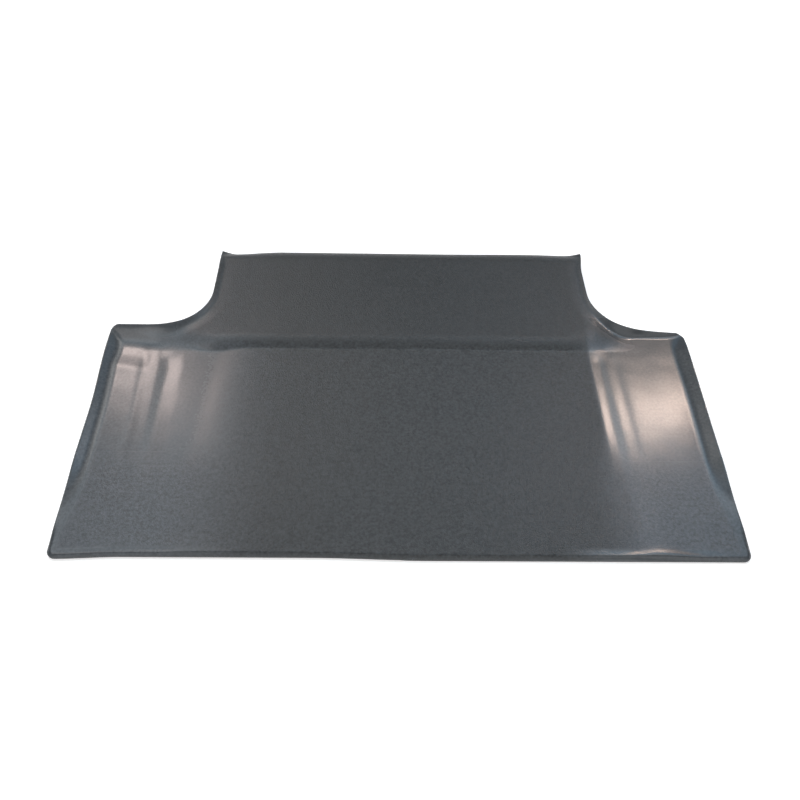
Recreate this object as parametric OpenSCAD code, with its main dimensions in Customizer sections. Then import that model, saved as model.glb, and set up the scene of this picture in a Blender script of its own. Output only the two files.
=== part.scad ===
// Moulded vinyl bed mat for a pickup truck: a heavy laminate tray with wheel-arch cut-outs.
// X is the bed's width, +Y points to the cab and +Z is up. The origin is under the middle of the mat.

/* [Overall size] */
// Width of the mat, across the bed
mat_w = 1500; // [1380:10:1620]
// Depth of the mat, along the bed
mat_d = 950; // [900:10:1040]
// Depth of the two side wings, from the tailgate edge to the wheel arches
wing_d = 648; // [620:4:680]
// Width of the neck that runs between the wheel arches
neck_w = 1030; // [970:4:1082]
// Radius of the curve between a wing and the neck
arch_r = 122; // [90:2:140]
// Radius of the two tailgate corners
tail_corner_r = 18; // [12:1:40]
// Radius of the wings' front corners
wing_corner_r = 20; // [10:1:30]

/* [Layers] */
// Thickness of the vinyl wear layer
wear_t = 2.2; // [1.5:0.1:3]
// Thickness of the mass-loaded barrier layer
barrier_t = 2.2; // [1.5:0.1:3]
// Thickness of the non-woven backing scrim
scrim_t = 0.6; // [0.4:0.1:1]
// Thickness of the fibre pad under the main floor
floor_pad_t = 10; // [8:0.5:12]
// Thickness of the fibre pads under the wings
wing_pad_t = 7; // [5:0.5:8]
// Thickness of the fibre pad under the front deck
deck_pad_t = 9; // [6:0.5:10]
// Thickness of the facing on the underside of each pad
facing_t = 0.6; // [0.4:0.1:1]

/* [Moulded shape] */
// Distance from the tailgate edge to the foot of the cross ramp
ramp_at = 588; // [540:1:594]
// Length of the cross ramp, measured flat
ramp_run = 27; // [20:1:30]
// Height that the ramp climbs from the wings' floor to the deck
ramp_rise = 18; // [14:1:20]
// Height of the lips around the wheel arches above the bed
lip_top = 38; // [34:1:44]
// Height of the lips along the two sides above the bed
side_lip_top = 28; // [24:1:34]
// Flat width of the lips along the two sides
side_lip_run = 32; // [24:1:36]
// Flat width of the lips around the wheel arches, down to the rolled front edge
arch_lip_run = 46; // [40:1:50]
// Flat width of the rolled-down tailgate edge
tail_roll_run = 18; // [14:1:30]
// Flat width of the rolled-down front edge
front_roll_run = 40; // [30:1:44]

/* [Hidden] */
$fn = 96;

laminate_t = wear_t + barrier_t + scrim_t;
edge_gap = 0.8;                                       // air under the trimmed, rolled-down edges
wing_z = facing_t + wing_pad_t + laminate_t;          // top of the wings' floor
floor_z = facing_t + floor_pad_t + laminate_t;        // top of the main floor
deck_z = wing_z + ramp_rise;                          // top of the front deck
tail_edge_z = edge_gap + laminate_t;                  // top of the tailgate edge
front_edge_lift = 6;                                  // the front edge hangs this much clearer of the bed
front_edge_z = tail_edge_z + front_edge_lift;
arch_foot_z = front_edge_z - 1;                       // the arch lips start under the rolled front edge

tail_y = -mat_d / 2;
front_y = mat_d / 2;
wing_front_y = tail_y + wing_d;
ramp_y = tail_y + ramp_at;
side_x = mat_w / 2;
neck_x = neck_w / 2;
arch_x = neck_x + arch_r;                             // centre of the curve between wing and neck
arch_y = wing_front_y + arch_r;
crown_inset = 7;                                      // from the neck's side in to the thicker main floor
crown_x = neck_x - crown_inset;

over = 12;                                            // how far the form runs past the outline
below = -60;                                          // bottom of the form, under every layer
curve_steps = 6;
side_lip_power = 1.5;
arch_lip_power = 1.25;
tail_lip_start = 12;                                  // the side lips rise from here, from the tail edge
tail_lip_full = 180;                                  // and have their full height here
horn_run = 4;                                         // the neck's lips fall from behind the front roll
horn_drop = 11;                                       // and lose this much height at the front edge
crown_share = 0.6;                                    // where on the roll and ramp the main floor ends
crown_dip = 3;                                        // its tail end lies this much under the wings' floor
crown_clear = 6;                                      // and it is level from this far past the tail roll
pad_gap = 9;                                          // from a pad's edge to the next bend
pad_corner_r = 18;

// Points along a curve: a slow-fast-slow climb, a rounded shoulder and a lip that steepens outwards
function climb(y0, y1, z0, z1) = [for (i = [0:curve_steps]) let (s = i / curve_steps)
    [y0 + (y1 - y0) * s, z0 + (z1 - z0) * (1 - cos(180 * s)) / 2]];
function shoulder(y0, y1, z0, z1) = [for (i = [0:curve_steps]) let (s = i / curve_steps)
    [y0 + (y1 - y0) * s, z0 + (z1 - z0) * sin(90 * s)]];
function lip(x0, x1, z0, z1, power) = [for (i = [0:curve_steps]) let (s = i / curve_steps)
    [x0 + (x1 - x0) * s, z0 + (z1 - z0) * pow(s, power)]];
function backwards(points) = [for (i = [len(points) - 1:-1:0]) points[i]];

// Side view of the mat's upper face, from the tailgate edge over the ramp to the front edge
function side_view() = concat([[tail_y - over, below], [tail_y - over, tail_edge_z - over / 2]],
    shoulder(tail_y, tail_y + tail_roll_run, tail_edge_z, wing_z),
    climb(ramp_y, ramp_y + ramp_run, wing_z, deck_z),
    backwards(shoulder(front_y, front_y - front_roll_run, front_edge_z, deck_z)),
    [[front_y + over, front_edge_z - over], [front_y + over, below]]);

// Side view of the thicker main floor, which dies into the tail roll and into the ramp
function crown_view() = let (
    y0 = tail_y + tail_roll_run * crown_share,
    y1 = ramp_y + ramp_run * crown_share)
    [[y0, below], [y0, wing_z - crown_dip], [tail_y + tail_roll_run + crown_clear, floor_z],
     [y1, floor_z], [y1, below]];

// Lip sections, with the foot inboard and the top at the trimmed edge, run on level past the outline
function side_lip_view() = concat([[side_x - side_lip_run, below]],
    lip(side_x - side_lip_run, side_x, wing_z, side_lip_top, side_lip_power),
    [[side_x + over, side_lip_top], [side_x + over, below]]);
function arch_lip_view() = concat([[arch_lip_run, below]],
    lip(arch_lip_run, 0, arch_foot_z, lip_top, arch_lip_power),
    [[-over, lip_top], [-over, below]]);

// A side view pushed out along X, and a front view pushed out along Y
module push_x(points, x0, x1)
    translate([x0, 0, 0]) rotate([90, 0, 90]) linear_extrude(x1 - x0) polygon(points);
module push_y(points, y0, y1)
    translate([0, y1, 0]) rotate([90, 0, 0]) linear_extrude(y1 - y0) polygon(points);

module both_sides() {
    children();
    mirror([1, 0, 0]) children();
}

module main_floor_crown() {
    slope = floor_z - wing_z + over;
    intersection() {
        push_x(crown_view(), -crown_x - over, crown_x + over);
        push_y([[-crown_x - slope, wing_z - over], [-crown_x, floor_z], [crown_x, floor_z],
                [crown_x + slope, wing_z - over], [crown_x + slope, below], [-crown_x - slope, below]],
               tail_y, front_y);
    }
}

module side_lip()
    intersection() {
        push_y(side_lip_view(), tail_y - over, wing_front_y + over);
        push_x([[tail_y - over, below], [tail_y - over, tail_edge_z - over / 2],
                [tail_y + tail_lip_start, tail_edge_z], [tail_y + tail_lip_full, side_lip_top + 1],
                [wing_front_y + over, side_lip_top + 1], [wing_front_y + over, below]],
               side_x - side_lip_run - 1, side_x + over + 1);
    }

// The lip along the wing's front edge, around the curve and up the neck's side
module arch_lip() {
    translate([arch_x, wing_front_y, 0]) mirror([0, 1, 0])
        push_x(arch_lip_view(), 0, side_x - arch_x + over);
    translate([arch_x, arch_y, 0]) rotate_extrude()
        translate([arch_r, 0]) polygon(arch_lip_view());
    intersection() {
        translate([neck_x, 0, 0]) mirror([1, 0, 0])
            push_y(arch_lip_view(), arch_y, front_y + over);
        push_x([[arch_y - 1, below], [arch_y - 1, lip_top + 1],
                [front_y - front_roll_run - horn_run, lip_top + 1], [front_y, lip_top - horn_drop],
                [front_y + over, lip_top - horn_drop], [front_y + over, below]],
               neck_x - arch_lip_run - 1, neck_x + over + 1);
    }
}

// Everything under the mat's upper face, lowered by drop
module form(drop)
    translate([0, 0, -drop]) union() {
        push_x(side_view(), -side_x - over, side_x + over);
        main_floor_crown();
        both_sides() side_lip();
        both_sides() arch_lip();
    }

// What a square corner loses to a rounding of radius r, with the corner at the origin
module corner_waste(r)
    difference() {
        translate([-1, -1]) square(r + 1);
        translate([r, r]) circle(r);
    }

// Trimmed outline of the laminate, seen from above
module outline()
    difference() {
        translate([-side_x, tail_y]) square([mat_w, mat_d]);
        both_sides() translate([side_x, tail_y]) mirror([1, 0]) corner_waste(tail_corner_r);
        both_sides() translate([side_x, wing_front_y]) rotate(180) corner_waste(wing_corner_r);
        both_sides() difference() {
            translate([neck_x, wing_front_y]) square([side_x, mat_d]);
            difference() {
                translate([neck_x - 1, wing_front_y - 1]) square(arch_r + 1);
                translate([arch_x, arch_y]) circle(arch_r);
            }
        }
    }

// One sheet of the laminate, between two depths under the upper face
module laminate_sheet(from_depth, to_depth)
    intersection() {
        translate([0, 0, -1]) linear_extrude(lip_top + 2) outline();
        difference() {
            form(from_depth);
            form(to_depth);
        }
    }

module vinyl_wear_layer() color([0.30, 0.32, 0.34])
    laminate_sheet(0, wear_t);

module mass_barrier() color([0.13, 0.13, 0.14])
    laminate_sheet(wear_t, wear_t + barrier_t);

module backing_scrim() color([0.42, 0.42, 0.40])
    laminate_sheet(wear_t + barrier_t, laminate_t);

// A die-cut pad with rounded corners, between two heights
module pad(x0, x1, y0, y1, z0, z1)
    translate([0, 0, z0]) linear_extrude(z1 - z0) difference() {
        translate([x0, y0]) square([x1 - x0, y1 - y0]);
        translate([x0, y0]) corner_waste(pad_corner_r);
        translate([x1, y0]) rotate(90) corner_waste(pad_corner_r);
        translate([x1, y1]) rotate(180) corner_waste(pad_corner_r);
        translate([x0, y1]) rotate(270) corner_waste(pad_corner_r);
    }

module floor_outline_pad(z0, z1)
    pad(-crown_x + pad_gap, crown_x - pad_gap, tail_y + tail_roll_run + pad_gap, ramp_y - pad_gap, z0, z1);

module wing_outline_pad(z0, z1)
    pad(neck_x + pad_gap, side_x - side_lip_run - pad_gap, tail_y + tail_roll_run + pad_gap,
        ramp_y - pad_gap, z0, z1);

module deck_outline_pad(z0, z1)
    pad(-neck_x + arch_lip_run + pad_gap, neck_x - arch_lip_run - pad_gap,
        ramp_y + ramp_run + pad_gap, front_y - front_roll_run - pad_gap, z0, z1);

deck_pad_z = deck_z - laminate_t - deck_pad_t;        // underside of the deck's pad, before its facing

module floor_pad() color([0.45, 0.40, 0.34])
    floor_outline_pad(facing_t, facing_t + floor_pad_t);

module deck_pad() color([0.45, 0.40, 0.34])
    deck_outline_pad(deck_pad_z, deck_pad_z + deck_pad_t);

module left_wing_pad() color([0.48, 0.43, 0.37])
    mirror([1, 0, 0]) wing_outline_pad(facing_t, facing_t + wing_pad_t);

module right_wing_pad() color([0.48, 0.43, 0.37])
    wing_outline_pad(facing_t, facing_t + wing_pad_t);

module floor_pad_facing() color([0.20, 0.20, 0.21])
    floor_outline_pad(0, facing_t);

module deck_pad_facing() color([0.20, 0.20, 0.21])
    deck_outline_pad(deck_pad_z - facing_t, deck_pad_z);

module left_wing_pad_facing() color([0.20, 0.20, 0.21])
    mirror([1, 0, 0]) wing_outline_pad(0, facing_t);

module right_wing_pad_facing() color([0.20, 0.20, 0.21])
    wing_outline_pad(0, facing_t);

vinyl_wear_layer();
mass_barrier();
backing_scrim();
floor_pad();
deck_pad();
left_wing_pad();
right_wing_pad();
floor_pad_facing();
deck_pad_facing();
left_wing_pad_facing();
right_wing_pad_facing();
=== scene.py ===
"""Looks for a moulded vinyl truck bed mat: the grained vinyl skin, the two layers behind it, and the
fibre pads with their facings underneath.

The shape functions take arrays of points x, y seen from above, in millimetres. Negative x is the left
side, and y rises from the tailgate edge to the front edge. The scene itself is in metres."""
import math

import bpy
import numpy as np
from mathutils import Matrix, Vector
from mathutils.geometry import delaunay_2d_cdt


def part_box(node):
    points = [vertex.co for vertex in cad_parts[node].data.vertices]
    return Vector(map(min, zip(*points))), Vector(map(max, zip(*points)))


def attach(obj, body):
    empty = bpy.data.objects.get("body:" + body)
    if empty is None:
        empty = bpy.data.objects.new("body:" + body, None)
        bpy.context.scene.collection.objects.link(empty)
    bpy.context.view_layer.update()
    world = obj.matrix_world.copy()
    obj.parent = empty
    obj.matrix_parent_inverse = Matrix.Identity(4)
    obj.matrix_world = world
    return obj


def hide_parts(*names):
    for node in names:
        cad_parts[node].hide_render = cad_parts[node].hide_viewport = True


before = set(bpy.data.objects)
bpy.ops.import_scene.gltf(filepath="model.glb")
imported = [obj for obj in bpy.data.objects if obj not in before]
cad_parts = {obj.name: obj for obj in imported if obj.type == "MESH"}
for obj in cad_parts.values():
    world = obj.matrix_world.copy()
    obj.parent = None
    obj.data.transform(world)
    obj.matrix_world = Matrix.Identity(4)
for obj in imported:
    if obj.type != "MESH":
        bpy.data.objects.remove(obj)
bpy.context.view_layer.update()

MM = 0.001
skin_low, skin_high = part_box("vinyl_wear_layer")
SIDE_X, FRONT_Y, LIP_TOP = skin_high[0] / MM, skin_high[1] / MM, skin_high[2] / MM
TAIL_Y = skin_low[1] / MM

# ---- plan of the mat -----------------------------------------------------------------------------
WING_D, NECK_W = 648.0, 1030.0
ARCH_R, TAIL_CORNER_R, WING_CORNER_R, NECK_CORNER_R = 122.0, 18.0, 20.0, 4.0
RAMP_AT, RAMP_RUN = 588.0, 27.0
NECK_X = NECK_W / 2
WING_FRONT_Y = TAIL_Y + WING_D
ARCH_X, ARCH_Y = NECK_X + ARCH_R, WING_FRONT_Y + ARCH_R
RAMP_Y = TAIL_Y + RAMP_AT
CROWN_X = NECK_X - 7.0                                # half-width of the thicker main floor
RIGHT_BORDER = (486, 500)                             # in x, where the right wing's smooth vinyl starts
PAST_TAIL = (TAIL_Y + 45, TAIL_Y + 175)               # in y, from the tailgate corners to straight sides
NEAR_WING_FRONT = (WING_FRONT_Y - 63, WING_FRONT_Y - 3)    # in y, the last of the wings

# ---- heights and layers --------------------------------------------------------------------------
WEAR_T, BARRIER_T, SCRIM_T = 2.2, 2.2, 0.6
LAMINATE_T = WEAR_T + BARRIER_T + SCRIM_T
WING_Z, FLOOR_Z, DECK_Z = 12.6, 15.6, 30.6
TAIL_EDGE_Z, SIDE_TOP = 5.8, 27.0

# ---- flat widths of the formed edges -------------------------------------------------------------
TAIL_ROLL, SIDE_LIP, ARCH_LIP, FRONT_ROLL = 9.0, 26.0, 44.0, 42.0
RIGHT_LIP_EXTRA = 8.0                                 # the right side lip is this much wider
ARCH_LIP_POWER, TAIL_ROLL_POWER = 1.25, 1.8           # a greater power is steeper at the edge
FOOT_CREASE, TOP_CREASE = 3.0, 12.0                   # how wide the ramp's foot and top are rounded

# ---- how far the mat has relaxed -----------------------------------------------------------------
LEFT_SINK = 4.0                                       # how much lower the ramp's left end climbs
LEFT_SPREAD, RIGHT_SPREAD = 20.0, 34.0                # how much longer the ramp is at each end
DIP_DEPTH, DIP_SLOPE = 2.2, 0.06                      # of the dip before the left ramp's outer end
TOE_RISE = 2.7                                        # of the toe below the deck's right end
LEFT_HORN_DROP, RIGHT_HORN_DROP = 16.0, 10.0          # how far the neck's lips fall at the front edge
HORN_RUN = 75.0                                       # and over what length
WING_LIP_DROP = 4.0                                   # of the lips along both wings' front edges
WORN_LIP_DROP = 13.0                                  # of the right one, at its outer end, besides
# Each wave's height, its length along x and along y in mm per radian, and its start
SAG_WAVES = ((0.5, 97, 161, 0.7), (0.4, 61, -118, 2.1), (0.35, 230, 74, 0.0))


def smoothstep(a, b, x):
    """0 at a and 1 at b, with level ends. It falls where b is less than a."""
    t = np.clip((x - a) / (b - a), 0, 1)
    return t * t * (3 - 2 * t)


def ridge(x, centre, width):
    """A bell that is 1 at its centre."""
    return np.exp(-((x - centre) / width) ** 2)


def soft_max(a, b, width):
    """The greater of two, with the corner between them rounded over width."""
    mix = np.clip(0.5 + 0.5 * (a - b) / width, 0, 1)
    return b + (a - b) * mix + width * mix * (1 - mix)


def soft_min(a, b, width):
    return -soft_max(-a, -b, width)


def around_corner(distance, side, end, r):
    """A distance from two straight edges, made to follow the rounding of radius r between them."""
    in_corner = (side < r) & (end < r)
    return np.maximum(np.where(in_corner, r - np.hypot(r - side, r - end), distance), 0)


def wing_distance(x, y):
    """Distance in from the side edges and the tailgate edge, around their rounded corners."""
    side, tail = SIDE_X - abs(x), y - TAIL_Y
    return around_corner(np.minimum(side, tail), side, tail, TAIL_CORNER_R)


def arch_distance(x, y):
    """Distance in from the wing's front edge, the arch curve and the neck's side."""
    d = np.hypot(ARCH_X - abs(x), ARCH_Y - y) - ARCH_R
    d = np.where(abs(x) > ARCH_X, WING_FRONT_Y - y, d)
    return np.maximum(np.where(y > ARCH_Y, NECK_X - abs(x), d), 0)


def edge_distance(x, y):
    """Distance in from the nearest trimmed edge."""
    near_arch = (abs(x) > NECK_X - 60) & (y > 0)
    arch = np.where(near_arch, arch_distance(x, y), SIDE_X)
    d = np.minimum(np.minimum(wing_distance(x, y), arch), FRONT_Y - y)
    return around_corner(d, SIDE_X - abs(x), WING_FRONT_Y - y, WING_CORNER_R)


def crown(x, y):
    """Share of the main floor's extra height. It falls in two steps on the right and fades on the left."""
    right = 0.5 * smoothstep(520, 487, x) + 0.5 * smoothstep(640, 545, x)
    left = smoothstep(-492, -412, x - 0.1 * y)
    return np.where(x > 0, right, left)


def ramp_foot(x):
    """Where the ramp starts. It wanders on the left wing."""
    return RAMP_Y - 4 - 15 * smoothstep(-400, -520, x) + 12 * smoothstep(-635, -705, x)


def left_dip(x, past_foot):
    """The shallow dip before the left ramp's outer end, which fades out up the ramp."""
    dip = soft_max(-DIP_SLOPE * (past_foot + 54), -DIP_DEPTH, 0.7) * smoothstep(-80, -44, past_foot)
    outer = 0.35 * smoothstep(-590, -620, x) + 0.65 * smoothstep(-625, -668, x)
    return dip * outer * (1 - smoothstep(20, 60, past_foot))


def floor_and_deck(x, y):
    """The main floor with its thicker middle, the cross ramp and the front deck."""
    past_foot = y - ramp_foot(x)
    floor = WING_Z + (FLOOR_Z - WING_Z) * crown(x, y) + left_dip(x, past_foot)
    # The ramp is lower and softer on the left, where it has relaxed, and longer on the right
    left, right = smoothstep(-CROWN_X + 60, -CROWN_X - 90, x), smoothstep(430, 530, x)
    rise = DECK_Z - WING_Z - LEFT_SINK * left
    run = RAMP_RUN + LEFT_SPREAD * left + RIGHT_SPREAD * right
    climb = floor + rise * (past_foot - LEFT_SPREAD * left) / run
    creased = soft_max(floor, climb, FOOT_CREASE * (1 + left))
    creased = soft_min(creased, DECK_Z - LEFT_SINK * left, TOP_CREASE - 4 * left)
    # The right wing stays flat up to its front lip, and the deck slopes down to it over a small toe
    flat = floor + TOE_RISE * smoothstep(66, 112, y) * smoothstep(548, 500, x)
    bank = smoothstep(106, 168, y) * smoothstep(612, 500, x)
    on_right_wing = smoothstep(CROWN_X - 28, CROWN_X + 30, x)
    return creased + (flat + (DECK_Z - flat) * bank - creased) * on_right_wing


def ripples(x, y):
    """Shallow lengthwise ripples where the wings have been rolled for storage."""
    along = smoothstep(-390, -120, y) * (1 - smoothstep(60, 104, y))
    u = x + 0.012 * (y + 50)
    left = 1.05 * smoothstep(-599, -556, u) - 1.3 * smoothstep(-622, -594, u)
    left += 0.5 * (smoothstep(-652, -634, u) - smoothstep(-668, -652, u))
    right = 0.42 * ridge(u, 534, 11) - 0.32 * ridge(u, 560, 11)
    return (left + right) * along


def waves(x, y, rows):
    """The sum of crossed waves, such as the slow ones of a heavy sheet that doesn't lie quite flat."""
    return sum(high * np.sin(x / x_length + y / y_length + start)
               for high, x_length, y_length, start in rows)


def front_edge_z(x):
    """Height of the front edge, a little higher on the right and lower at the left end."""
    return 16 + 2 * smoothstep(100, 350, x) - 8 * smoothstep(-340, -480, x)


def roll_front(z, x, y):
    """Rolls the deck down to the front edge."""
    inland = np.clip((FRONT_Y - y) / FRONT_ROLL, 0, 1)
    return z - (z - front_edge_z(x)) * (1 - inland) ** 2


def roll_tail(z, x, y):
    """Rolls the tailgate edge down behind a slight bead, which wanders in near the right end."""
    d, along = wing_distance(x, y), y - TAIL_Y
    wander = ridge(x, 560, 60)
    height = 0.3 + 0.8 * ridge(x, -560, 110) + 1.7 * ridge(x, 545, 85)
    bead = height * ridge(d, TAIL_ROLL - 4 + 9 * wander, 5 + 4 * wander)
    bead = bead * (1 - smoothstep(20, 60, along)) * smoothstep(0, TAIL_ROLL, d)
    roll = np.clip(1 - d / TAIL_ROLL, 0, 1) ** TAIL_ROLL_POWER * (1 - smoothstep(8, 90, along))
    return z + bead + (TAIL_EDGE_Z - z) * roll


def raise_sides(z, x, y):
    """Turns the side edges up. The lips start from the tailgate corners, and the right one is wider
    and loses height towards the front."""
    d, right = wing_distance(x, y), x > 0
    lip = smoothstep(20, 260, y - TAIL_Y) * (1 - 0.35 * smoothstep(*NEAR_WING_FRONT, y) * right)
    run = SIDE_LIP + RIGHT_LIP_EXTRA * right
    slope = (SIDE_TOP - WING_Z) / run
    # Where there is no lip the wall lies under the floor, and the crease between them is softer
    wall = WING_Z + slope * (run - d) * lip - (5 + 4 * right) * (1 - lip)
    crease = 3.5 + 3 * (x < 0) + 4.5 * right * (1 - lip)
    return np.where(d < SIDE_LIP + 20, soft_max(z, wall, crease), z)


def raise_arches(z, x, y):
    """Turns the edge up around the wheel arches, to a horn over the rolled front edge."""
    d = arch_distance(x, y)
    horn_drop = np.where(x < 0, LEFT_HORN_DROP, RIGHT_HORN_DROP)
    wing = smoothstep(ARCH_X - 40, ARCH_X + 30, abs(x))
    worn = smoothstep(ARCH_X - 60, SIDE_X, x)
    top = LIP_TOP - smoothstep(FRONT_Y - HORN_RUN, FRONT_Y, y) * horn_drop
    top = top - WING_LIP_DROP * wing - WORN_LIP_DROP * worn
    foot = front_edge_z(x) - 2 - 7 * smoothstep(500, 560, x)
    run = ARCH_LIP - 30 * smoothstep(520, 640, x)
    lip = foot + (top - foot) * np.clip(1 - d / run, 0, 1) ** ARCH_LIP_POWER
    crease = 4 + 5 * smoothstep(-440, -560, x) + 2 * smoothstep(540, 620, x)
    return np.where(d < run, soft_max(z, lip, crease), z)


def upper_face(x, y):
    """Height of the wear layer's face over the point x, y."""
    z = floor_and_deck(x, y) + ripples(x, y) + waves(x, y, SAG_WAVES) * smoothstep(0, 60, y - TAIL_Y)
    for form in (roll_front, roll_tail, raise_sides, raise_arches):
        z = form(z, x, y)
    return z


def lay(x, y):
    """How far a flexible mat strays from its drawn outline where it lies: dx and dy."""
    side, sign = smoothstep(560, 740, abs(x)), np.sign(x)
    tail, middle = smoothstep(-290, -425, y), ridge(y, -200, 170)
    dx = sign * side * (9 * tail + 6 * smoothstep(*PAST_TAIL, y))
    right = 2 * smoothstep(*NEAR_WING_FRONT, y) - 3 * middle
    dx += side * np.where(x < 0, -10 * smoothstep(-110, 120, y), right)
    neck = smoothstep(390, 475, y) * smoothstep(380, 505, abs(x))
    arch = ridge(abs(x), 560, 60) * ridge(y, 240, 60)
    dx += neck * np.where(x < 0, -5, 12) + arch * np.where(x < 0, -1, 4)
    bow = smoothstep(-735, -600, x) * smoothstep(60, -200, x)
    dy = 5 * bow * smoothstep(TAIL_Y + 120, TAIL_Y, y) + 3 * arch * (x > 0)
    dy += 2.5 * smoothstep(FRONT_Y - 60, FRONT_Y, y) * smoothstep(NECK_X - 30, NECK_X - 130, abs(x))
    return dx, dy


# ---- plan meshes ---------------------------------------------------------------------------------
RING_INSETS = [0.0, 0.8, 2.0, 3.6, 5.6, 8.0, 10.8, 13.6, 16.6, 20.0]
GRID_INSET = 24.0                                     # the inner points keep this far from the edge
EDGE_STEP = 8.0
SMALLEST_R = 1.0
CORNER_STEPS, ARCH_STEPS, NECK_CORNER_STEPS = 10, 30, 4
CDT_INSIDE, CDT_EPSILON = 1, 1e-6                     # the triangulation fills the inside of its loop
SHARP_ANGLE = math.radians(50)


def arc(cx, cy, r, start, end, n):
    """n points on an arc about cx, cy, from the start angle up to the end angle, in degrees."""
    turns = [math.radians(start + (end - start) * i / n) for i in range(n)]
    return [(cx + r * math.cos(t), cy + r * math.sin(t)) for t in turns]


def line(ax, ay, bx, by, n):
    """n points from a up to b, without b."""
    return [(ax + (bx - ax) * i / n, ay + (by - ay) * i / n) for i in range(n)]


def outline(inset):
    """The mat's outline drawn in by inset, as a closed loop that starts at the tailgate edge's middle.
    It has the same number of points at each inset, so that one loop can be joined to the next."""
    tail, side, wing = TAIL_Y + inset, SIDE_X - inset, WING_FRONT_Y - inset
    neck, front = NECK_X - inset, FRONT_Y - inset
    r_tail, r_wing, r_neck = (max(r - inset, SMALLEST_R)
                              for r in (TAIL_CORNER_R, WING_CORNER_R, NECK_CORNER_R))
    points = line(0, tail, side - r_tail, tail, round(SIDE_X / EDGE_STEP))
    points += arc(side - r_tail, tail + r_tail, r_tail, -90, 0, CORNER_STEPS)
    points += line(side, tail + r_tail, side, wing - r_wing, round(WING_D / EDGE_STEP))
    points += arc(side - r_wing, wing - r_wing, r_wing, 0, 90, CORNER_STEPS)
    points += line(side - r_wing, wing, ARCH_X, wing, round((SIDE_X - ARCH_X) / EDGE_STEP))
    points += arc(ARCH_X, ARCH_Y, ARCH_R + inset, 270, 180, ARCH_STEPS)
    points += line(neck, ARCH_Y, neck, front - r_neck, round((FRONT_Y - ARCH_Y) / EDGE_STEP))
    points += arc(neck - r_neck, front - r_neck, r_neck, 0, 90, NECK_CORNER_STEPS)
    points += line(neck - r_neck, front, 0, front, round(NECK_X / EDGE_STEP))
    return np.array(points + [(0, front)] + [(-x, y) for x, y in reversed(points[1:])])


def grid_lines(*stops):
    """Grid lines from the first stop to the last. Each stop is a place and the step after it."""
    lines = []
    for (a, step), (b, _) in zip(stops, stops[1:]):
        lines += [x for x, _ in line(a, 0, b, 0, max(1, round((b - a) / step)))]
    return lines + [stops[-1][0]]


def filled_plan(rings, inner):
    """A plan: its points, its faces and how many of its points, the first ones, are on the rim. Quads
    join each ring to the next, and triangles fill the last ring over the inner points."""
    rim = len(rings[0])
    faces = []
    for k in range(len(rings) - 1):
        for i in range(rim):
            j = (i + 1) % rim
            faces.append((k * rim + i, k * rim + j, (k + 1) * rim + j, (k + 1) * rim + i))
    start = (len(rings) - 1) * rim
    flat = [Vector(p) for p in rings[-1]] + [Vector(p) for p in inner]
    loop = [(i, (i + 1) % rim) for i in range(rim)]
    _, _, triangles, source, _, _ = delaunay_2d_cdt(flat, loop, [], CDT_INSIDE, CDT_EPSILON)
    faces += [tuple(start + source[v][0] for v in t) for t in triangles]
    return np.vstack(rings + [inner]), faces, rim


def sheet_plan():
    """The whole mat's plan, with a finer grid at the ramp and at the sides of the thicker floor."""
    half = grid_lines((0, 12), (CROWN_X - 40, 6), (CROWN_X - 12, 3), (CROWN_X + 12, 4.5), (SIDE_X, 1))
    ys = grid_lines((TAIL_Y, 9), (RAMP_Y - 16, 2), (RAMP_Y + RAMP_RUN + 12, 8), (FRONT_Y, 1))
    gx, gy = np.meshgrid([-x for x in reversed(half[1:])] + half, ys)
    gx, gy = gx.ravel(), gy.ravel()
    keep = edge_distance(gx, gy) > GRID_INSET
    rings = [outline(inset) for inset in RING_INSETS]
    return filled_plan(rings, np.column_stack([gx[keep], gy[keep]]))


def build(name, plan, top, bottom):
    """A closed solid in metres between the heights top and bottom over a plan. Its first half of
    vertices is the top and its second half is the bottom."""
    points, faces, rim = plan
    n = len(points)
    dx, dy = lay(points[:, 0], points[:, 1])
    lift = np.column_stack([points[:, 0] + dx, points[:, 1] + dy, top])
    under = lift.copy()
    under[:, 2] = bottom
    skirt = [(i, i + n, (i + 1) % rim + n, (i + 1) % rim) for i in range(rim)]
    solid = list(faces) + [tuple(v + n for v in reversed(f)) for f in faces] + skirt
    mesh = bpy.data.meshes.new(name)
    mesh.from_pydata((np.vstack([lift, under]) * MM).tolist(), [], solid)
    mesh.update()
    mesh.shade_smooth()
    mesh.set_sharp_from_angle(angle=SHARP_ANGLE)
    piece = bpy.data.objects.new(name, mesh)
    bpy.context.collection.objects.link(piece)
    return piece


def paint(piece, name, values):
    """Stores one number at each vertex, for a material to read. The top and the bottom get the same."""
    layer = piece.data.attributes.new(name, "FLOAT", "POINT")
    layer.data.foreach_set("value", np.tile(values, 2).astype(np.float32))


# ---- the laminate: wear layer, mass barrier and scrim --------------------------------------------
GAP = 0.05                                            # between one layer and the next
ROUNDED_RUN, ROUNDED_DROP = 2.2, 0.8                  # of the wear layer's trimmed edge
RIM_WIDTH = 3.5


def wing_share(x, y):
    """Where the vinyl is stretched and glossier, and where its colour is painted paler and bluer as a
    painted sheen of the bluish sky it reflects: the wings, but much less where they turn into the neck.
    The right wing's border is sharp except near the tailgate edge."""
    near_tail = smoothstep(-120, -280, y)
    right = smoothstep(RIGHT_BORDER[0] - 70 * near_tail, RIGHT_BORDER[1] + 60 * near_tail, x)
    share = np.where(x > 0, right, smoothstep(-260, -560, x))
    return share * (1 - 0.7 * smoothstep(*NEAR_WING_FRONT, y) * smoothstep(600, 550, abs(x)))


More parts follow.
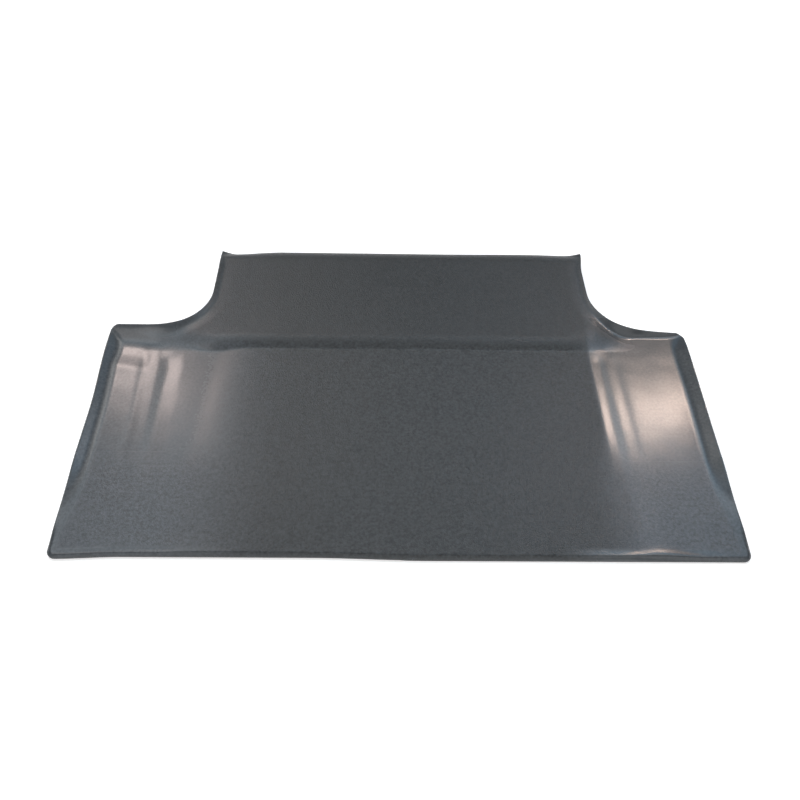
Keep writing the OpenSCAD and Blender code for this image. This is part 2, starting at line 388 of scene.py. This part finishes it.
def polish_share(x, y, edge_d):
    """Where the vinyl is worn smooth: the front of the wings, and a strip along the outer lips."""
    plate = np.where(x > 0, smoothstep(*RIGHT_BORDER, x), 0.75 * smoothstep(-360, -490, x))
    plate = plate * smoothstep(-300, -160, y)
    plate = plate * (1 - smoothstep(92, 132, y) * smoothstep(660, 575, abs(x)))
    reach = 16 * smoothstep(*PAST_TAIL, y)
    strip = smoothstep(30 + reach, 16 + reach, edge_d) * smoothstep(330, 450, abs(x))
    strip = strip * np.where(x < 0, 0.6, 1) * (1 - 0.7 * smoothstep(190, 260, y))
    strip = strip * (1 - 0.6 * smoothstep(-240, -380, y) * smoothstep(650, 700, x))
    return np.maximum(plate, strip)


mat_plan = sheet_plan()
mat_x, mat_y = mat_plan[0].T
face_z, edge_d = upper_face(mat_x, mat_y), edge_distance(mat_x, mat_y)
rounded = ROUNDED_DROP * np.clip(1 - edge_d / ROUNDED_RUN, 0, 1) ** 2
barrier_z = face_z - WEAR_T
scrim_z = barrier_z - BARRIER_T
skin = build("vinyl_skin", mat_plan, face_z - rounded, barrier_z + GAP)
barrier = build("barrier_sheet", mat_plan, barrier_z, scrim_z + GAP)
scrim = build("scrim_felt", mat_plan, scrim_z, face_z - LAMINATE_T)
paint(skin, "wing", wing_share(mat_x, mat_y))
paint(skin, "smooth", polish_share(mat_x, mat_y, edge_d))
paint(skin, "deck", smoothstep(RAMP_Y - 5, RAMP_Y + 20, mat_y))
paint(skin, "rim", ridge(edge_d, 0, RIM_WIDTH))


# ---- fibre pads and their facings ----------------------------------------------------------------
PAD_STEPS = {"floor_pad": 12.0, "deck_pad": 12.0, "left_wing_pad": 8.0, "right_wing_pad": 8.0}
PAD_INSETS = (0, 1.5, 4, 8, 13)
PAD_CORNER_R, PAD_CORNER_STEPS = 18, 8
PAD_GRID_INSET = 20
PAD_SOFT_RUN, PAD_EDGE_SHARE = 12, 0.45               # how far in the edge is soft, and its height there
PAD_LIFT, PAD_CLEAR = 0.02, 0.1                       # over its facing, and under the scrim
FLUFF_WAVES = ((0.25, 19, 27, 0.0), (0.2, 11, -14, 1.3))


def pad_plan(x0, x1, y0, y1, step):
    """Rounded rectangle: rings for its soft edge and points inside."""
    rings = []
    nx, ny = round((x1 - x0) / step), round((y1 - y0) / step)
    for inset in PAD_INSETS:
        r = max(PAD_CORNER_R - inset, SMALLEST_R)
        ax, bx, ay, by = x0 + inset, x1 - inset, y0 + inset, y1 - inset
        ring = line(ax + r, ay, bx - r, ay, nx) + arc(bx - r, ay + r, r, -90, 0, PAD_CORNER_STEPS)
        ring += line(bx, ay + r, bx, by - r, ny) + arc(bx - r, by - r, r, 0, 90, PAD_CORNER_STEPS)
        ring += line(bx - r, by, ax + r, by, nx) + arc(ax + r, by - r, r, 90, 180, PAD_CORNER_STEPS)
        ring += line(ax, by - r, ax, ay + r, ny) + arc(ax + r, ay + r, r, 180, 270, PAD_CORNER_STEPS)
        rings.append(np.array(ring))
    gx, gy = np.meshgrid(np.arange(x0 + PAD_GRID_INSET, x1 - PAD_GRID_INSET + 1, step),
                         np.arange(y0 + PAD_GRID_INSET, y1 - PAD_GRID_INSET + 1, step))
    return filled_plan(rings, np.column_stack([gx.ravel(), gy.ravel()]))


def box_mm(node):
    low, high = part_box(node)
    return np.array(low) / MM, np.array(high) / MM


def build_pad(node, step):
    """A fibre pad with soft edges and an uneven top that stays under the scrim, and its flat facing."""
    low, high = box_mm(node)
    plan = pad_plan(low[0], high[0], low[1], high[1], step)
    x, y = plan[0].T
    inset = np.minimum(np.minimum(x - low[0], high[0] - x), np.minimum(y - low[1], high[1] - y))
    fluff = waves(x, y, FLUFF_WAVES)
    crowned = np.sqrt(np.clip(1 - (1 - np.clip(inset / PAD_SOFT_RUN, 0, 1)) ** 2, 0, 1))
    share = PAD_EDGE_SHARE + (1 - PAD_EDGE_SHARE) * crowned
    top = np.minimum(low[2] + (high[2] - low[2] + fluff) * share,
                     upper_face(x, y) - LAMINATE_T - PAD_CLEAR)
    pad = build(node.replace("pad", "fibre_pad"), plan, top, np.full(len(x), low[2] + PAD_LIFT))
    facing_low, facing_high = box_mm(node + "_facing")
    facing = build(node + "_backing", plan, np.full(len(x), facing_high[2]), np.full(len(x), facing_low[2]))
    return pad, facing


pads = {node: build_pad(node, step) for node, step in PAD_STEPS.items()}


# ---- materials -----------------------------------------------------------------------------------
class Shader:
    """Short calls for a node material that ends in one Principled shader."""

    def __init__(self, name, **values):
        self.material = bpy.data.materials.new(name)
        self.material.use_nodes = True
        self.tree = self.material.node_tree
        self.tree.nodes.clear()
        out = self.tree.nodes.new("ShaderNodeOutputMaterial")
        self.bsdf = self.tree.nodes.new("ShaderNodeBsdfPrincipled")
        self.tree.links.new(self.bsdf.outputs[0], out.inputs[0])
        for key, value in values.items():
            self.bsdf.inputs[key.replace("_", " ")].default_value = value
        self.place = self.tree.nodes.new("ShaderNodeTexCoord").outputs["Object"]

    def feed(self, socket, value):
        """Links a socket to a node's output, or sets it to a number or colour."""
        if isinstance(value, bpy.types.NodeSocket):
            self.tree.links.new(value, socket)
        else:
            socket.default_value = value

    def node(self, kind, output=0, inputs=None, **settings):
        made = self.tree.nodes.new("ShaderNode" + kind)
        for key, value in settings.items():
            setattr(made, key, value)
        for key, value in (inputs or {}).items():
            self.feed(made.inputs[key], value)
        return made.outputs[output]

    def noise(self, scale, detail, stretch=None):
        where = self.place
        if stretch:
            where = self.node("Mapping", inputs={"Vector": where, "Scale": stretch})
        return self.node("TexNoise", 0, {"Vector": where, "Scale": scale, "Detail": detail})

    def cells(self, scale, output, **settings):
        return self.node("TexVoronoi", output, {"Vector": self.place, "Scale": scale}, **settings)

    def math(self, operation, a, b):
        return self.node("Math", 0, {0: a, 1: b}, operation=operation)

    def remap(self, value, low, high, to_low, to_high):
        return self.node("MapRange", 0, {0: value, 1: low, 2: high, 3: to_low, 4: to_high})

    def mix(self, share, a, b):
        """Mixes two numbers."""
        return self.node("Mix", 0, {0: share, 2: a, 3: b})

    def blend(self, share, a, b):
        """Mixes two colours."""
        return self.node("Mix", 2, {0: share, 6: a, 7: b}, data_type="RGBA")

    def attribute(self, name):
        return self.node("Attribute", "Fac", attribute_name=name)

    def bump(self, height, distance, strength=1.0, normal=None):
        inputs = {"Height": height, "Distance": distance, "Strength": strength}
        if normal is not None:
            inputs["Normal"] = normal
        return self.node("Bump", 0, inputs)

    def link(self, value, name):
        self.tree.links.new(value, self.bsdf.inputs[name])


# Colours are linear. A pair is a material's darkest and palest colour, and scales are per metre
MIDDLE = (0.003, 0.005, 0.006, 1), (0.042, 0.048, 0.052, 1)
# The wings' pair is painted paler and bluer than the middle's: a painted sheen of the bluish sky that the
# wings reflect.
WINGS_WITH_PAINTED_SHEEN = (0.016, 0.021, 0.026, 1), (0.068, 0.080, 0.093, 1)
POLISHED = (0.036, 0.042, 0.047, 1), (0.058, 0.064, 0.070, 1)
RIM_COLOUR = (0.060, 0.065, 0.070, 1)
BARRIER = (0.012, 0.012, 0.013, 1), (0.026, 0.026, 0.027, 1)
SCRIM = (0.06, 0.06, 0.06, 1), (0.17, 0.17, 0.165, 1)
FIBRE = (0.10, 0.085, 0.07, 1), (0.27, 0.235, 0.19, 1)
FACING = (0.035, 0.035, 0.038, 1), (0.085, 0.085, 0.09, 1)
MOTTLES, SPECKS, PEBBLES, LUMPS = 150, 240, 420, 26
PEBBLE_DEPTH, LUMP_DEPTH = 0.0009, 0.0005


def vinyl_material():
    """Grained vinyl: the middle is dark and speckled, the stretched wings are glossier and their colour is
    painted paler and bluer, a painted sheen of the sky they reflect, and the polished parts are evener and
    glossier. The grain's colour is weaker on the deck."""
    s = Shader("grained_vinyl", IOR=1.5)
    wing, rim, smooth, deck = (s.attribute(name) for name in ("wing", "rim", "smooth", "deck"))
    speck = s.node("SeparateColor", 0, {0: s.cells(SPECKS, "Color")})
    mottle = s.remap(s.noise(MOTTLES, 4.0), 0.34, 0.66, 0, 1)
    grain = s.math("ADD", s.math("MULTIPLY", mottle, 0.65), s.math("MULTIPLY", speck, 0.35))
    grain = s.mix(s.math("MULTIPLY", deck, 0.5), grain, 0.30)
    # The wing share blends in the wings' pair, whose paler, bluer colour is painted sheen.
    outer = s.blend(wing, s.blend(grain, *MIDDLE), s.blend(grain, *WINGS_WITH_PAINTED_SHEEN))
    colour = s.blend(smooth, outer, s.blend(grain, *POLISHED))
    s.link(s.blend(s.math("MULTIPLY", rim, 0.4), colour, RIM_COLOUR), "Base Color")
    rough_middle = s.remap(mottle, 0, 1, 0.38, 0.52)
    rough_wing = s.remap(smooth, 0, 1, 0.342, 0.217)
    s.link(s.mix(s.math("MAXIMUM", wing, smooth), rough_middle, rough_wing), "Roughness")
    pebble = s.cells(PEBBLES, "Distance", feature="SMOOTH_F1")
    strength = s.math("SUBTRACT", s.remap(smooth, 0, 0.7, 0.8, 0.43), s.math("MULTIPLY", wing, 0.4))
    lumps = s.bump(s.noise(LUMPS, 0.5), LUMP_DEPTH, 0.55)
    s.link(s.bump(pebble, PEBBLE_DEPTH, strength, lumps), "Normal")
    return s.material


def felt_material(name, colours, scale, depth, sheen):
    """Fibres laid every way: two stretched noises crossed over a speckle."""
    s = Shader(name, Roughness=0.95, Sheen_Weight=sheen, Sheen_Roughness=0.5, IOR=1.4)
    fibre = s.math("MAXIMUM", s.noise(scale, 4.0, (1, 6, 3)), s.noise(scale, 4.0, (6, 1, 3)))
    speckle = s.noise(scale * 5, 2.0)
    share = s.math("ADD", s.math("MULTIPLY", fibre, 0.7), s.math("MULTIPLY", speckle, 0.3))
    s.link(s.blend(s.remap(share, 0.4, 0.65, 0, 1), *colours), "Base Color")
    s.link(s.bump(fibre, depth), "Normal")
    return s.material


def facing_material():
    """Spun-bonded sheet: fine fibre with a lattice of small pressed points."""
    s = Shader("spun_facing", Roughness=0.8, Sheen_Weight=0.2, IOR=1.4)
    point = s.remap(s.cells(260, "Distance", feature="F1"), 0.15, 0.3, 0, 1)
    fibre = s.noise(700, 3.0, (1, 3, 1))
    share = s.math("MULTIPLY", point, s.remap(fibre, 0.3, 0.7, 0.5, 1))
    s.link(s.blend(share, *FACING), "Base Color")
    s.link(s.bump(share, 0.0003), "Normal")
    return s.material


def barrier_material():
    """Dense filled vinyl, matt and slightly cloudy."""
    s = Shader("filled_barrier", IOR=1.5)
    cloud = s.noise(60, 4.0)
    s.link(s.blend(s.remap(cloud, 0.3, 0.7, 0, 1), *BARRIER), "Base Color")
    s.link(s.remap(cloud, 0.3, 0.7, 0.65, 0.85), "Roughness")
    s.link(s.bump(s.noise(500, 3.0), 0.0003), "Normal")
    return s.material


vinyl, barrier_vinyl = vinyl_material(), barrier_material()
scrim_felt = felt_material("scrim_felt", SCRIM, 180, 0.0005, 0.3)
pad_felt = felt_material("pad_felt", FIBRE, 120, 0.0012, 0.4)
spun = facing_material()


# ---- what each piece is --------------------------------------------------------------------------
def finish_piece(piece, node, material):
    piece.data.materials.append(material)
    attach(piece, "root")
    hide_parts(node)


finish_piece(skin, "vinyl_wear_layer", vinyl)
finish_piece(barrier, "mass_barrier", barrier_vinyl)
finish_piece(scrim, "backing_scrim", scrim_felt)
for node, (pad, facing) in pads.items():
    facing_node = node + "_facing"
    finish_piece(pad, node, pad_felt)
    finish_piece(facing, facing_node, spun)


# ---- studio --------------------------------------------------------------------------------------
scene = bpy.context.scene
scene.view_settings.view_transform = "Standard"

FLOOR_HALF, FLOOR_AT = 12.0, -0.0002                  # just under the facings that lie on it
floor_mesh = bpy.data.meshes.new("floor")
corners = [(x * FLOOR_HALF, y * FLOOR_HALF, FLOOR_AT) for x, y in ((-1, -1), (1, -1), (1, 1), (-1, 1))]
floor_mesh.from_pydata(corners, [], [(0, 1, 2, 3)])
floor = bpy.data.objects.new("floor", floor_mesh)
bpy.context.collection.objects.link(floor)
paper = Shader("pale_paper", Roughness=0.9, Base_Color=(0.95, 0.95, 0.95, 1),
               Emission_Color=(1, 1, 1, 1), Emission_Strength=0.35)
floor_mesh.materials.append(paper.material)

# A grey world: each stop is the upward share of a direction and how bright it is there
SKY = [(0.0, 0.5), (0.3, 0.42), (0.55, 0.24), (0.75, 0.20), (1.0, 0.45)]
world = bpy.data.worlds.new("studio")
world.use_nodes = True
sky = world.node_tree
ramp = sky.nodes.new("ShaderNodeValToRGB")
ramp.color_ramp.interpolation = "EASE"
while len(ramp.color_ramp.elements) < len(SKY):
    ramp.color_ramp.elements.new(0.5)
for stop, (height, value) in zip(ramp.color_ramp.elements, SKY):
    stop.position, stop.color = height, (value, value, value, 1)
direction = sky.nodes.new("ShaderNodeTexCoord").outputs["Generated"]
split = sky.nodes.new("ShaderNodeSeparateXYZ")
sky.links.new(direction, split.inputs[0])
sky.links.new(split.outputs["Z"], ramp.inputs[0])
sky.links.new(ramp.outputs[0], sky.nodes["Background"].inputs["Color"])
scene.world = world


def card(name, place, size, radiance, colour, target=(0, 0, 0)):
    """A soft light panel that shines at the target. radiance is how bright its face is."""
    data = bpy.data.lights.new(name, "AREA")
    data.shape = "RECTANGLE"
    data.size, data.size_y = size
    data.energy = radiance * math.pi * size[0] * size[1]
    data.color = colour
    lamp = bpy.data.objects.new(name, data)
    bpy.context.collection.objects.link(lamp)
    lamp.location = place
    lamp.rotation_euler = (Vector(target) - Vector(place)).to_track_quat("-Z", "Y").to_euler()
    lamp.visible_camera = False


# The panels stand in for the room that the vinyl reflects: two windows, walls, doors and the sky
card("overhead_left", (-0.55, 1.0, 3.0), (1.5, 1.6), 0.5, (1, 1, 0.94))
card("overhead_right", (0.75, 1.0, 3.0), (1.1, 1.8), 0.95, (0.5, 0.74, 1.0))
card("left_window", (-2.03, 2.44, 2.8), (0.34, 0.28), 66.0, (1.0, 0.82, 0.76), (-0.67, 0, 0))
card("left_wall", (-0.75, 1.9, 2.85), (0.8, 1.3), 4.4, (1.0, 0.98, 0.95), (-0.4, 0, 0))
card("left_door", (-1.85, 1.8, 2.85), (0.7, 1.0), 1.5, (1.0, 0.94, 0.9), (-0.6, 0, 0))
card("right_window", (2.03, 1.93, 2.8), (0.30, 0.21), 88.0, (1.0, 0.77, 0.65), (0.66, 0, 0))
card("right_wall", (1.45, 1.78, 2.85), (0.6, 0.8), 4.2, (1.0, 0.84, 0.72), (0.55, 0, 0))
card("left_room", (-1.9, 0.05, 2.8), (1.6, 1.0), 2.6, (1.0, 0.96, 0.94), (-0.67, 0.1, 0))
card("left_sky", (-1.7, 1.05, 2.8), (1.8, 1.0), 1.5, (0.58, 0.82, 1.0), (-0.67, -0.3, 0))
card("right_sky", (1.65, 1.1, 2.9), (2.0, 1.2), 2.1, (0.34, 0.66, 0.94), (0.6, -0.3, 0))
card("right_room", (1.6, 0.1, 2.85), (1.6, 0.8), 2.2, (1.0, 0.97, 0.95), (0.55, 0, 0))
card("far_sky", (1.1, 3.05, 2.9), (0.9, 0.9), 1.0, (0.3, 0.66, 1.0), (0.3, 0.1, 0))
card("right_door", (2.0, 2.4, 2.85), (0.6, 0.7), 0.9, (1.0, 0.92, 0.86), (0.65, 0, 0))
card("fill", (0, -5.0, 3.6), (10, 5), 1.1, (1, 1, 1))

CAMERA_AT = (-0.0341, -1.089, 1.4156)
PITCH, YAW, ROLL = (math.radians(a) for a in (53.568, 1.678, 1.858))
LENS_MM, SENSOR_MM = 31.5, 36.0
level = Vector((math.sin(YAW), math.cos(YAW), 0))
right = Vector((math.cos(YAW), -math.sin(YAW), 0))
forward = level * math.cos(PITCH) + Vector((0, 0, -math.sin(PITCH)))
up = right.cross(forward)
rolled_right = right * math.cos(ROLL) + up * math.sin(ROLL)
rolled_up = -right * math.sin(ROLL) + up * math.cos(ROLL)
lens = bpy.data.cameras.new("camera")
lens.lens, lens.sensor_width = LENS_MM, SENSOR_MM
camera = bpy.data.objects.new("camera", lens)
bpy.context.collection.objects.link(camera)
turn = Matrix((rolled_right, rolled_up, -forward)).transposed().to_4x4()
camera.matrix_world = Matrix.Translation(CAMERA_AT) @ turn
scene.camera = camera

bpy.context.view_layer.update()
